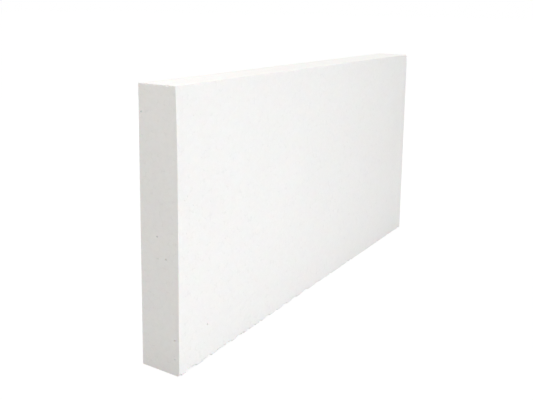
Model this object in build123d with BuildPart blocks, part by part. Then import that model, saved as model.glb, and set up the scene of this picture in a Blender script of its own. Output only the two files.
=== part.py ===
from build123d import *
import os
from random import Random

# The board stands on one long edge, as cut: length along X, thickness along Y, height along Z.
# The near end is at -X, the front face at -Y, and the origin is the middle of the underside.
board_length = 600.0
board_height = 300.0
board_thickness = 50.0

# The hot wire that cut the front face drifted into the board at the top of the near end, and took
# off a sliver that fades out at the far end.
drift_depth = 1.8
drift_height = 100.0

# Handling has eased the cut corners.
corner_radius = 0.5

# The foam is beads that were swelled in a mould until they pressed each other into flat-sided cells.
# Each cell is a cube with bevelled edges, and these are the widths of a small, a middling and a
# large one, with the bevel as a share of the width.
bead_widths = [3.2, 4.0, 5.0]
bead_bevel = 0.29

# Where a bead was pulled out at a corner it leaves its socket. The bead's centre stands off outside
# the corner by a share of its width.
least_stand_off = 0.15
most_stand_off = 0.40
socket_spacing = 50.0
socket_seed = 4

# The lower front corner is more torn than the others, most of all towards the near end, and its
# beads came out whole. These are its sockets, as shares of the length from the near end.
least_torn_stand_off = -0.05
most_torn_stand_off = 0.20
torn_sockets = [0.003, 0.023, 0.033, 0.042, 0.070, 0.080, 0.088, 0.110, 0.120, 0.132, 0.143, 0.152]
torn_sockets += [0.173, 0.183, 0.193, 0.212, 0.233, 0.255, 0.277, 0.287, 0.318, 0.347, 0.357, 0.385]
torn_sockets += [0.397, 0.422, 0.435, 0.447, 0.490, 0.502, 0.562, 0.625, 0.655, 0.675, 0.763, 0.838]
torn_sockets += [0.913, 0.987]

# Voids between the beads are open at the cut faces. They are nearly as wide as this, and the middle
# of each lies this far under the face.
void_width = 2.0
void_sink = 0.4

# Voids in the near end, as shares of the thickness from the front and of the height.
near_end_voids = [(0.11, 0.128), (0.11, 0.059), (0.32, 0.410), (0.55, 0.483), (0.93, 0.905)]
# Voids in the front face, as shares of the length from the near end and of the height.
front_voids = [(0.079, 0.131), (0.548, 0.214), (0.674, 0.045)]
# The back, top and far end have a few more, spread by chance and clear of the corners.
back_void_count = 12
top_void_count = 4
far_end_void_count = 4
void_margin = 0.1
void_seed = 11

near_x = -board_length / 2
far_x = board_length / 2
front_y = -board_thickness / 2
back_y = board_thickness / 2
drift_start = board_height - drift_height


def cell(width):
    """One bead's cell, about its own centre."""
    with BuildPart() as bead:
        Box(width, width, width)
        chamfer(bead.edges(), length=bead_bevel * width)
    return bead.part


def turned(place, chance):
    """This place, with a cell there turned any way by chance."""
    return Location(place, [chance.uniform(0, 90) for axis in range(3)])


def out_of_corner(corner):
    """The direction out of the board, midway between the two faces that meet in this corner."""
    middle = corner.position_at(0.5)
    return Vector(
        round(2 * middle.X / board_length),
        round(2 * middle.Y / board_thickness),
        round(2 * middle.Z / board_height - 1),
    ).normalized()


def uneven_places(corner, chance):
    """Places along a corner, one by chance in each stretch of about the socket spacing."""
    count = max(1, round(corner.length / socket_spacing))
    return [corner.position_at((stretch + chance.random()) / count) for stretch in range(count)]


def between(low, high, chance):
    """A place by chance between two sides of the board, clear of both."""
    return low + (high - low) * chance.uniform(void_margin, 1 - void_margin)


bead_cells = {width: cell(width) for width in bead_widths}
void_cell = cell(void_width)

with BuildPart() as foam_board:
    # The slab as cut square from the block
    with BuildSketch(Plane.XY):
        Rectangle(board_length, board_thickness)
    extrude(amount=board_height)

    # The sliver off the front, from its section at the near end to nothing at the far end. What cuts
    # it reaches as far again in front of the face.
    with BuildSketch(Plane.YZ.offset(near_x)):
        with BuildLine():
            drift = TangentArc(
                (front_y, drift_start), (front_y + drift_depth, board_height), tangent=(0, 1)
            )
            Polyline(
                drift @ 1,
                (front_y - drift_depth, board_height),
                (front_y - drift_depth, drift_start),
                drift @ 0,
            )
        make_face()
    with BuildSketch(Plane.YZ.offset(far_x)):
        with Locations((front_y, drift_start)):
            Rectangle(drift_depth, drift_height, align=(Align.MAX, Align.MIN))
    loft(ruled=True, mode=Mode.SUBTRACT)

    # The eased corners. The front is smooth across the line where the drift starts.
    along_board = foam_board.edges().filter_by(
        lambda edge: edge.bounding_box().size.X > board_length / 2
    )
    drift_line = along_board.group_by(Axis.Z)[1]
    lower_front_corner = along_board.group_by(Axis.Z)[0].sort_by(Axis.Y)[0]
    corners = foam_board.edges() - drift_line
    fillet(corners, radius=corner_radius)

    # Beads are missing from the corners round the top and from the long ones at the bottom. The
    # upright corners and the short ones at the bottom stayed whole.
    picked_corners = corners.group_by(Axis.Z)[-1] + along_board.group_by(Axis.Z)[0]

    # The sockets of the missing beads, gathered by the beads' width
    sockets = {width: [] for width in bead_widths}
    chance = Random(socket_seed)
    for corner in picked_corners:
        if corner == lower_front_corner:
            places = [Vector(near_x + share * board_length, front_y, 0) for share in torn_sockets]
            widths = bead_widths[1:]
            least, most = least_torn_stand_off, most_torn_stand_off
        else:
            places = uneven_places(corner, chance)
            widths = bead_widths
            least, most = least_stand_off, most_stand_off
        for place in places:
            width = chance.choice(widths)
            stand_off = width * chance.uniform(least, most)
            sockets[width].append(turned(place + out_of_corner(corner) * stand_off, chance))
    for width, locations in sockets.items():
        with Locations(*locations):
            add(bead_cells[width], mode=Mode.SUBTRACT)

    # The voids that the cuts opened in the faces
    chance = Random(void_seed)
    voids = [
        Vector(near_x + void_sink, front_y + across * board_thickness, up * board_height)
        for across, up in near_end_voids
    ]
    voids += [
        Vector(near_x + along * board_length, front_y + void_sink, up * board_height)
        for along, up in front_voids
    ]
    for count in range(back_void_count):
        along = between(near_x, far_x, chance)
        voids.append(Vector(along, back_y - void_sink, between(0, board_height, chance)))
    for count in range(top_void_count):
        along = between(near_x, far_x, chance)
        voids.append(Vector(along, between(front_y, back_y, chance), board_height - void_sink))
    for count in range(far_end_void_count):
        across = between(front_y, back_y, chance)
        voids.append(Vector(far_x - void_sink, across, between(0, board_height, chance)))
    with Locations(*(turned(place, chance) for place in voids)):
        add(void_cell, mode=Mode.SUBTRACT)

foam_board.part.label = "foam_board"

os.makedirs("parts", exist_ok=True)
export_step(foam_board.part, "parts/foam_board.step")
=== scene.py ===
import math
from random import Random

import bmesh
import bpy
from mathutils import Euler, Matrix, Vector
from mathutils.bvhtree import BVHTree


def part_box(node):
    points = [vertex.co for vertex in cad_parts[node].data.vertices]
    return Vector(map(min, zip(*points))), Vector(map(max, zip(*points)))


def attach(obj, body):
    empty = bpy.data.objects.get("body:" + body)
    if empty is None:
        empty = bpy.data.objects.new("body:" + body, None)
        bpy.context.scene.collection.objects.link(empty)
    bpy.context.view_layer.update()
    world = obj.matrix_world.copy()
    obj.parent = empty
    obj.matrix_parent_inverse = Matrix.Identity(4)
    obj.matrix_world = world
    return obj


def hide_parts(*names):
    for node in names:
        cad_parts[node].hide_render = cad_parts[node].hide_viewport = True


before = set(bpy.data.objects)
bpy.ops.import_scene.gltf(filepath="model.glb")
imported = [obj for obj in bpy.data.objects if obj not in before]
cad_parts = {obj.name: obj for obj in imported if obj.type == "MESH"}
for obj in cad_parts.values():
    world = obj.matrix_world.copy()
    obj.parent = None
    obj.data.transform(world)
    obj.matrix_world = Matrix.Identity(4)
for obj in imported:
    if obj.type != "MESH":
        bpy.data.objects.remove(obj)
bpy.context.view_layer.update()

# The slab
# One slab of white bead foam. The beads were swelled in a closed mould until they fused into one
# block, and a hot wire cut the slab out of it, so each face is a smooth cut through the beads.
merge_distance = 1e-6

board_low, board_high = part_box("foam_board")
near, front, under = board_low
far, back, top = board_high

slab = bmesh.new()
slab.from_mesh(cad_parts["foam_board"].data)
bmesh.ops.remove_doubles(slab, verts=slab.verts, dist=merge_distance)
board_mesh = bpy.data.meshes.new("cut_board")
slab.to_mesh(board_mesh)
skin = BVHTree.FromBMesh(slab)
slab.free()
# The node's own normals and UV map wouldn't fit the faces once they are cut
for left_over in ("custom_normal", "UVMap"):
    if left_over in board_mesh.attributes:
        board_mesh.attributes.remove(board_mesh.attributes[left_over])
board = bpy.data.objects.new("cut_board", board_mesh)
bpy.context.scene.collection.objects.link(board)

# The picked corners
# Handling has pulled parts of beads out along the corners round the top and the two long ones
# under the board, and each leaves the flat-sided socket of its cell. The short one over the near
# end is the roughest, and the upright corners stayed clean and straight.
light_picking = {"widths": (0.0018, 0.0042), "stand_off": (0.28, 0.50), "spacing": 0.016}
rough_picking = {"widths": (0.0024, 0.0042), "stand_off": (0.1, 0.42), "spacing": 0.005}
picking_seed = 21

# These are shares of a cell's width. A stand-off is how far the cell's middle stands outside the
# corner, and the reach is how far the cell comes from its middle.
cell_stretch = (0.85, 1.0)
cell_bevel = 0.29
cell_reach = 0.58

chance = Random(picking_seed)
cutter = bmesh.new()
cut_places = []


def is_clear(place, reach):
    """Whether a cut of this reach stands free of all that are placed already."""
    return all((place - other).length > reach + other_reach for other, other_reach in cut_places)


def sink_cell(place, width, bevel):
    """Add one bead's cell, a cube with bevelled edges, to what cuts the board."""
    turn = Euler([chance.uniform(0, math.tau) for axis in range(3)]).to_matrix().to_4x4()
    stretch = Matrix.Diagonal([width * chance.uniform(*cell_stretch) for axis in range(3)] + [1.0])
    cell = bmesh.new()
    bmesh.ops.create_cube(cell, size=1.0)
    bmesh.ops.bevel(
        cell, geom=cell.edges, offset=bevel, offset_type="OFFSET", affect="EDGES",
        segments=1, profile=0.5, material=-1,
    )
    bmesh.ops.transform(cell, matrix=Matrix.Translation(place) @ turn @ stretch, verts=cell.verts)
    cell_mesh = bpy.data.meshes.new("cell")
    cell.to_mesh(cell_mesh)
    cell.free()
    cutter.from_mesh(cell_mesh)
    bpy.data.meshes.remove(cell_mesh)
    cut_places.append((place, cell_reach * width))


def take_cells_out():
    """Cut the gathered cells out of the board, and start to gather anew."""
    cutter_mesh = bpy.data.meshes.new("cuts")
    cutter.to_mesh(cutter_mesh)
    cutter.clear()
    cut_places.clear()
    cuts = bpy.data.objects.new("cuts", cutter_mesh)
    bpy.context.scene.collection.objects.link(cuts)
    cutting = board.modifiers.new("cutting", "BOOLEAN")
    cutting.operation = "DIFFERENCE"
    cutting.solver = "MANIFOLD"
    cutting.object = cuts
    with bpy.context.temp_override(object=board, active_object=board, selected_objects=[board]):
        bpy.ops.object.modifier_apply(modifier=cutting.name)
    bpy.data.objects.remove(cuts)
    bpy.data.meshes.remove(cutter_mesh)


def pick_corner(start, end, outward, picking):
    """Pull beads out along one corner, one by chance in each stretch of about the spacing."""
    start = Vector(start)
    end = Vector(end)
    outward = Vector(outward).normalized()
    stretches = max(2, round((end - start).length / picking["spacing"]))
    for stretch in range(stretches):
        width = chance.uniform(*picking["widths"])
        corner = skin.find_nearest(start.lerp(end, (stretch + chance.random()) / stretches))[0]
        place = corner + outward * width * chance.uniform(*picking["stand_off"])
        if is_clear(place, cell_reach * width):
            sink_cell(place, width, cell_bevel)


pick_corner((near, front, top), (far, front, top), (0, -1, 1), light_picking)
pick_corner((near, back, top), (far, back, top), (0, 1, 1), light_picking)
pick_corner((near, back, under), (far, back, under), (0, 1, -1), light_picking)
pick_corner((far, front, top), (far, back, top), (1, 0, 1), light_picking)
pick_corner((near, front, top), (near, back, top), (-1, 0, 1), rough_picking)
pick_corner((near, front, under), (far, front, under), (0, -1, -1), light_picking)
take_cells_out()

# The torn runs
# Along the lower front corner the beads came away in whole runs, between places where the corner
# still stands. Every run takes in the sockets that the board has there, and clears what is left
# between them.
run_bead_widths = (0.0045, 0.006)
run_stand_off = (-0.15, 0.08)
run_bead_spacing = 0.004

# The corner counts as torn where the skin lies deeper than this, which a look at every step
# finds. Torn places nearer to each other than the gap make one run, and a whole end is left at
# both ends of the corner.
torn_depth = 0.0012
look_step = 0.001
run_gap = 0.0078
whole_end = 0.005

torn_places = []
for look in range(round((far - near - 2 * whole_end) / look_step)):
    corner = Vector((near + whole_end + look * look_step, front, under))
    if (skin.find_nearest(corner)[0] - corner).length > torn_depth:
        torn_places.append(corner.x)
runs = []
for along in torn_places:
    if runs and along - runs[-1][1] < run_gap:
        runs[-1][1] = along
    else:
        runs.append([along, along])

# Every other bead of a run comes out first, and those between them after, so that no two cuts of
# one pass overlap
outward = Vector((0, -1, -1)).normalized()
for first_bead in (0, 1):
    for start, end in runs:
        beads = 1 + round((end - start) / run_bead_spacing)
        for bead in range(first_bead, beads, 2):
            along = start + (end - start) * bead / max(1, beads - 1)
            width = chance.uniform(*run_bead_widths)
            place = Vector((along, front, under)) + outward * width * chance.uniform(*run_stand_off)
            if is_clear(place, cell_reach * width):
                sink_cell(place, width, cell_bevel)
    take_cells_out()

# The open voids
# Where three or four beads met, the mould left a small gap that the cut opened. They are scattered
# over every face, and are far smaller than the few that show from a step away.
least_void_width = 0.0005
most_void_width = 0.0011
area_for_each_void = 0.00032
void_seed = 5

# These are shares of a void's width
void_stand_off = (-0.3, 0.1)
void_bevel = 0.2
void_reach = 0.7

chance = Random(void_seed)
for axis in range(3):
    across, up = [other for other in range(3) if other != axis]
    face_area = (board_high[across] - board_low[across]) * (board_high[up] - board_low[up])
    for side in (board_low[axis], board_high[axis]):
        outward = Vector()
        outward[axis] = math.copysign(1, side - (board_low[axis] + board_high[axis]) / 2)
        for count in range(round(face_area / area_for_each_void)):
            width = least_void_width + (most_void_width - least_void_width) * chance.random() ** 2
            over = Vector()
            over[axis] = side
            over[across] = chance.uniform(board_low[across], board_high[across])
            over[up] = chance.uniform(board_low[up], board_high[up])
            place = skin.find_nearest(over)[0] + outward * width * chance.uniform(*void_stand_off)
            if is_clear(place, void_reach * width):
                sink_cell(place, width, void_bevel)
take_cells_out()
cutter.free()

# The finished faces
# Where two cuts just met they left edges of no length, which are closed up. The cut faces are
# smooth, and every socket and void in them keeps a sharp rim.
shortest_edge = 1e-7
rim_angle = math.radians(25)

finished = bmesh.new()
finished.from_mesh(board.data)
bmesh.ops.remove_doubles(finished, verts=finished.verts, dist=shortest_edge)
bmesh.ops.dissolve_degenerate(finished, edges=finished.edges, dist=shortest_edge)
bmesh.ops.triangulate(finished, faces=finished.faces, quad_method="BEAUTY", ngon_method="BEAUTY")
finished.to_mesh(board.data)
finished.free()

board.data.shade_smooth()
board.data.set_sharp_from_angle(angle=rim_angle)
evening = board.modifiers.new("evening", "WEIGHTED_NORMAL")
evening.mode = "FACE_AREA"
evening.keep_sharp = True

# The foam itself
# White bead foam, matt with a faint sheen. On a cut face each bead shows faintly, by its thin wall,
# by the gaps at its corners, sunk and darkened with painted shade, and by a slight difference from
# the next one. The hot wire left a fine ripple, and handling a few faint traces.
foam_colour = (0.9, 0.89, 0.873)

# The beads, in metres, with how unevenly they lie and how far they crowd each other out of place
bead_width = 0.0042
bead_unevenness = 0.85
crowding_scale = 260.0
crowding_detail = 1.0
crowding_push = 0.0012
middle_grey = (0.5, 0.5, 0.5)

# The width of a wall, and how far from a bead's middle a gap starts and is fully open, both as
# shares of the bead's width
wall_width = 0.07
gap_distances = (0.74, 0.86)

# The ripple is long along the wire, which ran the length of the board
ripple_scale = (2.0, 60.0, 420.0)
ripple_detail = 2.0
grain_scale = 2600.0
grain_detail = 2.0
handling_scale = 9.0
handling_detail = 4.0
patch_range = (0.3, 0.7)

# The darkest that each mark makes the foam, as a share of its colour
bead_tone = 0.985
handled_tone = 0.99
wall_tone = 0.985
# The gaps are darkened with painted shade, for the shade inside the small open pits
gap_painted_shade = 0.97

# The foam is dull, and a little more so on some beads and grains
bead_roughness = (0.72, 0.8)
grain_roughness = (-0.04, 0.04)

# How far each mark stands out of the face, in millimetres, and below nothing where it is sunk
millimetre = 0.001
wall_height = -0.02
gap_height = -0.08
bead_height = 0.012
ripple_height = 0.05
grain_height = 0.012

# A share of the light soaks a little way into the foam before it comes back out
soaked_share = 0.15
soak_depth = 0.0015

foam = bpy.data.materials.new("bead_foam")
foam.use_nodes = True
foam.node_tree.nodes.clear()


def foam_node(kind, settings=None, **inputs):
    """Add a node to the foam, with its settings, and its inputs set or linked by name."""
    made = foam.node_tree.nodes.new("ShaderNode" + kind)
    for name, value in (settings or {}).items():
        setattr(made, name, value)
    for name, value in inputs.items():
        socket = made.inputs[int(name[1:])] if name[0] == "_" else made.inputs[name.replace("_", " ")]
        if isinstance(value, bpy.types.NodeSocket):
            foam.node_tree.links.new(value, socket)
        else:
            socket.default_value = value
    return made


def eased(value, to_low, to_high, low=0.0, high=1.0):
    """A value of the foam eased from one range into another."""
    return foam_node(
        "MapRange", {"interpolation_type": "SMOOTHSTEP"},
        Value=value, From_Min=low, From_Max=high, To_Min=to_low, To_Max=to_high,
    ).outputs["Result"]


def worked(operation, first, second):
    """Two values of the foam added, multiplied or the like."""
    return foam_node("Math", {"operation": operation}, _0=first, _1=second).outputs["Value"]


def vector_worked(operation, first, **second):
    """A place or colour of the foam with another added, or scaled by a value, or the like."""
    return foam_node("VectorMath", {"operation": operation}, _0=first, **second).outputs["Vector"]


def mottled(place, detail, scale=1.0):
    """An uneven pattern of the foam over its faces."""
    return foam_node("TexNoise", Vector=place, Scale=scale, Detail=detail)


foam_place = foam_node("TexCoord").outputs["Object"]
crowding = mottled(foam_place, crowding_detail, crowding_scale).outputs["Color"]
push = vector_worked("SCALE", vector_worked("SUBTRACT", crowding, _1=middle_grey), Scale=crowding_push)
bead_place = vector_worked("ADD", foam_place, _1=push)
bead = foam_node(
    "TexVoronoi", {"feature": "F1"},
    Vector=bead_place, Scale=1 / bead_width, Randomness=bead_unevenness,
)
bead_edge = foam_node(
    "TexVoronoi", {"feature": "DISTANCE_TO_EDGE"},
    Vector=bead_place, Scale=1 / bead_width, Randomness=bead_unevenness,
)
wall = eased(bead_edge.outputs["Distance"], 1.0, 0.0, high=wall_width)
gap = eased(bead.outputs["Distance"], 0.0, 1.0, *gap_distances)

# Each bead has three values of its own by chance, for its tone, its dullness and its height
bead_chances = foam_node("SeparateColor", Color=bead.outputs["Color"])

wire_place = foam_node("Mapping", Vector=foam_place, Scale=ripple_scale).outputs["Vector"]
ripple = mottled(wire_place, ripple_detail).outputs["Fac"]
grain = mottled(foam_place, grain_detail, grain_scale).outputs["Fac"]
handling = mottled(foam_place, handling_detail, handling_scale).outputs["Fac"]

tone = eased(bead_chances.outputs["Red"], bead_tone, 1.0)
tone = worked("MULTIPLY", tone, eased(handling, handled_tone, 1.0, *patch_range))
tone = worked("MULTIPLY", tone, eased(wall, 1.0, wall_tone))
# Painted shade darkens the gaps between beads, where the open pits would be in shade
tone = worked("MULTIPLY", tone, eased(gap, 1.0, gap_painted_shade))
colour = vector_worked("SCALE", foam_colour, Scale=tone)

roughness = eased(bead_chances.outputs["Green"], *bead_roughness)
roughness = worked("ADD", roughness, eased(grain, *grain_roughness, *patch_range))

height = worked("MULTIPLY", wall, wall_height)
height = worked("ADD", height, worked("MULTIPLY", gap, gap_height))
height = worked("ADD", height, worked("MULTIPLY", bead_chances.outputs["Blue"], bead_height))
height = worked("ADD", height, worked("MULTIPLY", ripple, ripple_height))
height = worked("ADD", height, worked("MULTIPLY", grain, grain_height))
relief = foam_node("Bump", Strength=1.0, Distance=millimetre, Height=height).outputs["Normal"]

shader = foam_node(
    "BsdfPrincipled", Base_Color=colour, Roughness=roughness, Normal=relief,
    Subsurface_Weight=soaked_share, Subsurface_Scale=soak_depth,
)
foam_node("OutputMaterial", Surface=shader.outputs["BSDF"])
board.data.materials.clear()
board.data.materials.append(foam)

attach(board, "root")
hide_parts("foam_board")

# The white ground
# A wide sheet of white paper under the board. The camera sees it as plain white, with only the
# faint shadow where the board stands.
ground_reach = 30.0
ground_grey = (0.7, 0.7, 0.7, 1.0)
ground_glow = 1.1
shadow_share = 0.2

sheet = bmesh.new()
bmesh.ops.create_grid(sheet, x_segments=1, y_segments=1, size=ground_reach)
ground_mesh = bpy.data.meshes.new("white_ground")
sheet.to_mesh(ground_mesh)
sheet.free()
ground = bpy.data.objects.new("white_ground", ground_mesh)
bpy.context.scene.collection.objects.link(ground)


def seen_rays(tree):
    """One where a ray comes from the camera, from a gloss or through glass, and nothing elsewhere."""
    ray = tree.nodes.new("ShaderNodeLightPath")
    seen = ray.outputs["Is Camera Ray"]
    for kind in ("Is Glossy Ray", "Is Transmission Ray"):
        either = tree.nodes.new("ShaderNodeMath")
        either.operation = "MAXIMUM"
        tree.links.new(seen, either.inputs[0])
        tree.links.new(ray.outputs[kind], either.inputs[1])
        seen = either.outputs[0]
    return seen


def mixed(tree, share, first, second):
    """The first of two shaders, with this share of the second in its place."""
    mix = tree.nodes.new("ShaderNodeMixShader")
    tree.links.new(share, mix.inputs["Fac"])
    tree.links.new(first.outputs[0], mix.inputs[1])
    tree.links.new(second.outputs[0], mix.inputs[2])
    return mix.outputs[0]


paper = bpy.data.materials.new("white_paper")
paper.use_nodes = True
tree = paper.node_tree
tree.nodes.clear()
matt = tree.nodes.new("ShaderNodeBsdfDiffuse")
matt.inputs["Color"].default_value = ground_grey
glow = tree.nodes.new("ShaderNodeEmission")
glow.inputs["Strength"].default_value = ground_glow
glow_share = tree.nodes.new("ShaderNodeMath")
glow_share.operation = "MULTIPLY"
glow_share.inputs[1].default_value = 1 - shadow_share
tree.links.new(seen_rays(tree), glow_share.inputs[0])
output = tree.nodes.new("ShaderNodeOutputMaterial")
tree.links.new(mixed(tree, glow_share.outputs[0], matt, glow), output.inputs["Surface"])
ground.data.materials.append(paper)

# The light
# Soft even light comes from straight above. A low soft box stands before the front, towards the
# near end, a weaker one shines down on the near end, and a wide one fills the back and the far end.
bpy.context.scene.view_settings.view_transform = "Standard"
room_light = 0.32
room_colour = (1.0, 0.985, 0.955, 1.0)
backdrop_light = 1.0
backdrop_colour = (1.0, 1.0, 1.0, 1.0)
sky_light = 1.83
sky_spread = math.radians(50)
cool_white = (0.94, 0.962, 1.0)
warm_white = (1.0, 0.98, 0.94)

world = bpy.data.worlds.new("white_room")
bpy.context.scene.world = world
world.use_nodes = True
tree = world.node_tree
tree.nodes.clear()
room = tree.nodes.new("ShaderNodeBackground")
room.inputs["Color"].default_value = room_colour
room.inputs["Strength"].default_value = room_light
backdrop = tree.nodes.new("ShaderNodeBackground")
backdrop.inputs["Color"].default_value = backdrop_colour
backdrop.inputs["Strength"].default_value = backdrop_light
output = tree.nodes.new("ShaderNodeOutputWorld")
tree.links.new(mixed(tree, seen_rays(tree), room, backdrop), output.inputs["Surface"])

sky_lamp = bpy.data.lights.new("sky", "SUN")
sky_lamp.energy = sky_light
sky_lamp.angle = sky_spread
sky = bpy.data.objects.new("sky", sky_lamp)
bpy.context.scene.collection.objects.link(sky)


def soft_box(name, power, size, place, aim, colour):
    """A square soft box that shines on the board and isn't seen itself."""
    lamp = bpy.data.lights.new(name, "AREA")
    lamp.energy = power
    lamp.size = size
    lamp.color = colour
    box = bpy.data.objects.new(name, lamp)
    towards = (Vector(aim) - Vector(place)).to_track_quat("-Z", "Y").to_matrix().to_4x4()
    box.matrix_world = Matrix.Translation(place) @ towards
    box.visible_camera = False
    bpy.context.scene.collection.objects.link(box)


soft_box(
    "front_box", power=5.6, size=0.3,
    place=(-0.29, -1.15, 0.16), aim=(-0.22, 0.0, 0.1), colour=cool_white,
)
soft_box(
    "near_end_box", power=1.26, size=0.5,
    place=(-0.9, 0.0, 0.7), aim=(-0.3, 0.0, 0.25), colour=warm_white,
)
soft_box(
    "back_box", power=8.0, size=1.2,
    place=(1.1, 1.5, 0.7), aim=(0.1, 0.0, 0.15), colour=cool_white,
)

# The camera
# It looks down on the near end's front corner from the left, with the lens shifted a little so
# that the upright corners stay nearly upright in the picture.
camera_place = Vector((-0.80838, -0.44815, 0.37536))
camera_yaw = math.radians(32.308)
camera_pitch = math.radians(9.263)
camera_roll = math.radians(0.7146)
camera_lens = 46.634
camera_shift = -0.15
nearest_seen = 0.01

camera_data = bpy.data.cameras.new("camera")
camera_data.lens = camera_lens
camera_data.shift_y = camera_shift
camera_data.clip_start = nearest_seen
camera = bpy.data.objects.new("camera", camera_data)
camera.matrix_world = (
    Matrix.Translation(camera_place)
    @ Matrix.Rotation(camera_yaw - math.pi / 2, 4, "Z")
    @ Matrix.Rotation(math.pi / 2 - camera_pitch, 4, "X")
    @ Matrix.Rotation(camera_roll, 4, "Z")
)
bpy.context.scene.collection.objects.link(camera)
bpy.context.scene.camera = camera
